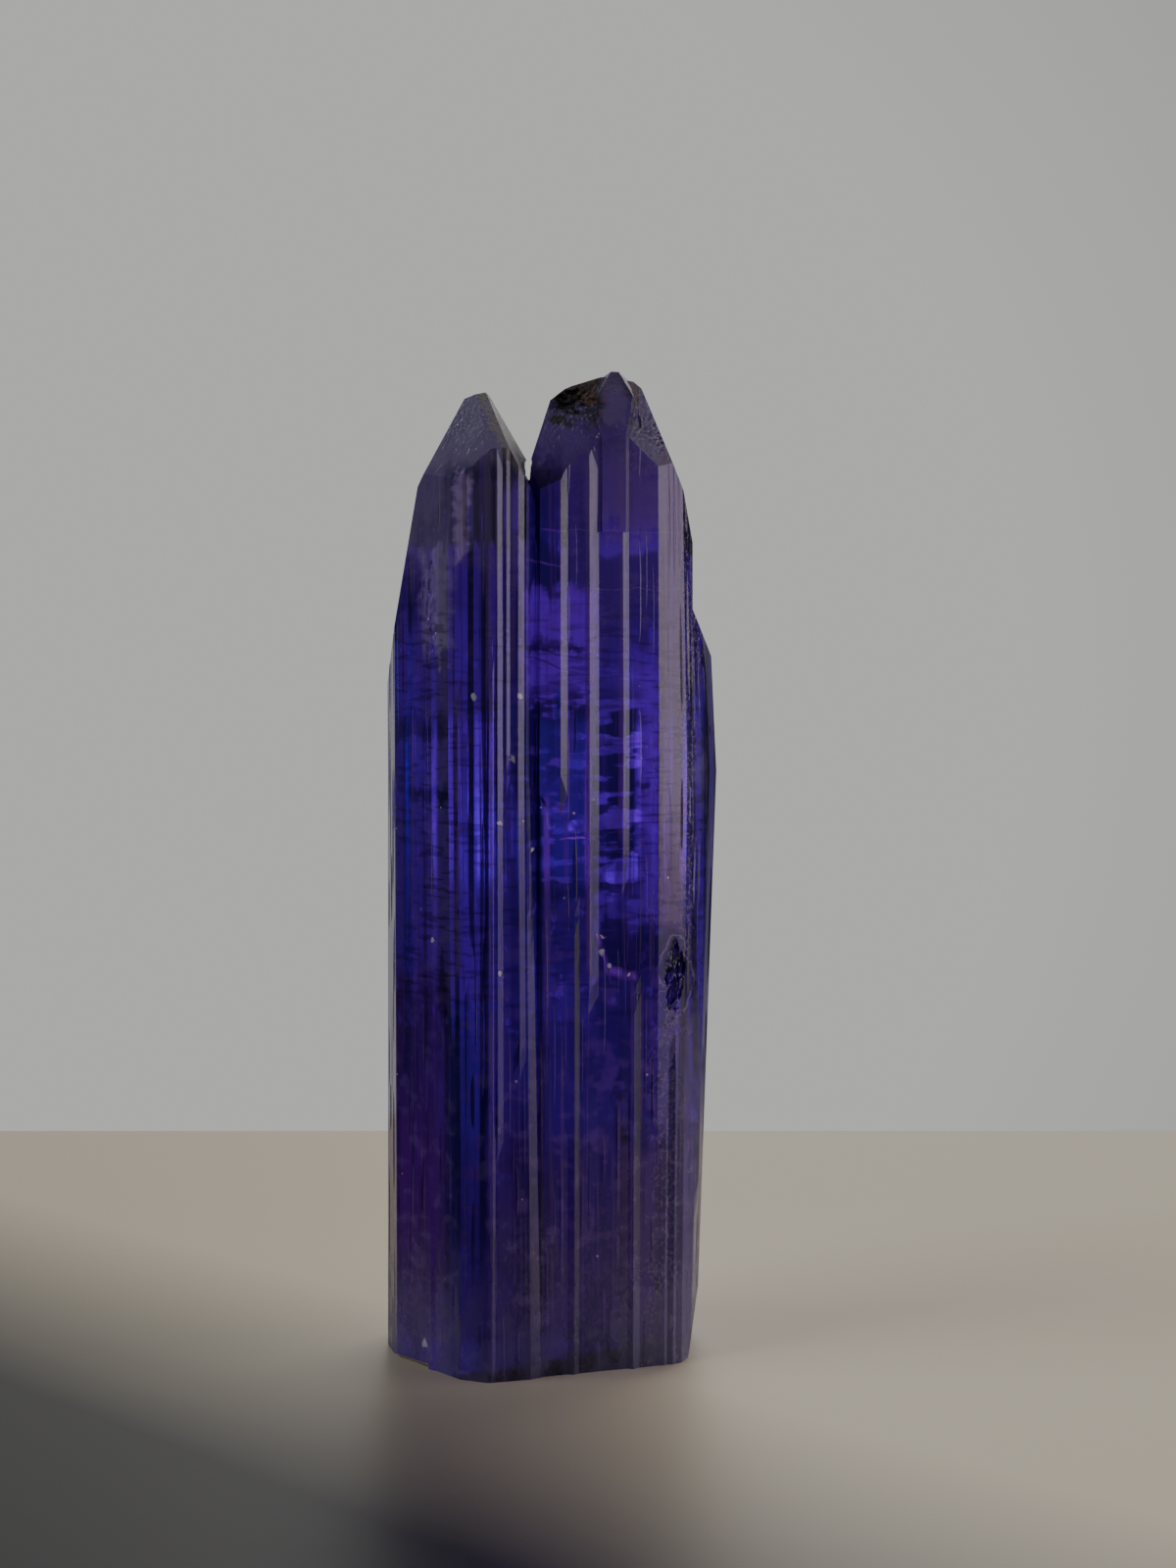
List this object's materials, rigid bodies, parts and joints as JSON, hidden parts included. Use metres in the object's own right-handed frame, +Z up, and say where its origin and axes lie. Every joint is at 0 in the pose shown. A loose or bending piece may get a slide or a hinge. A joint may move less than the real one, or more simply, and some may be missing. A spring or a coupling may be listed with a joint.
{
  "type": "tanzanite crystal",
  "caption": "Natural tanzanite specimen: tall striated prisms grown side by side into a single violet-blue crystal, parted at the tips by a narrow notch, standing on a flat broken base.",
  "frame": {"origin": "centre of the bounding box's underside, on the plane that the flat base rests on", "axes": "+Z up along the crystal's length, +X to the right as seen in the picture, -Y towards the viewer, mm sizes written in metres"},
  "size_m": [0.0172, 0.012, 0.05],
  "materials": {
    "tanzanite": "see-through violet-blue crystal, glossy striated faces with pale streaks, brown stain on the taller tip, greyish haze at the tips and foot"
  },
  "bodies": {
    "root": {"tanzanite_crystal": "tanzanite"}
  },
  "joints": []
}
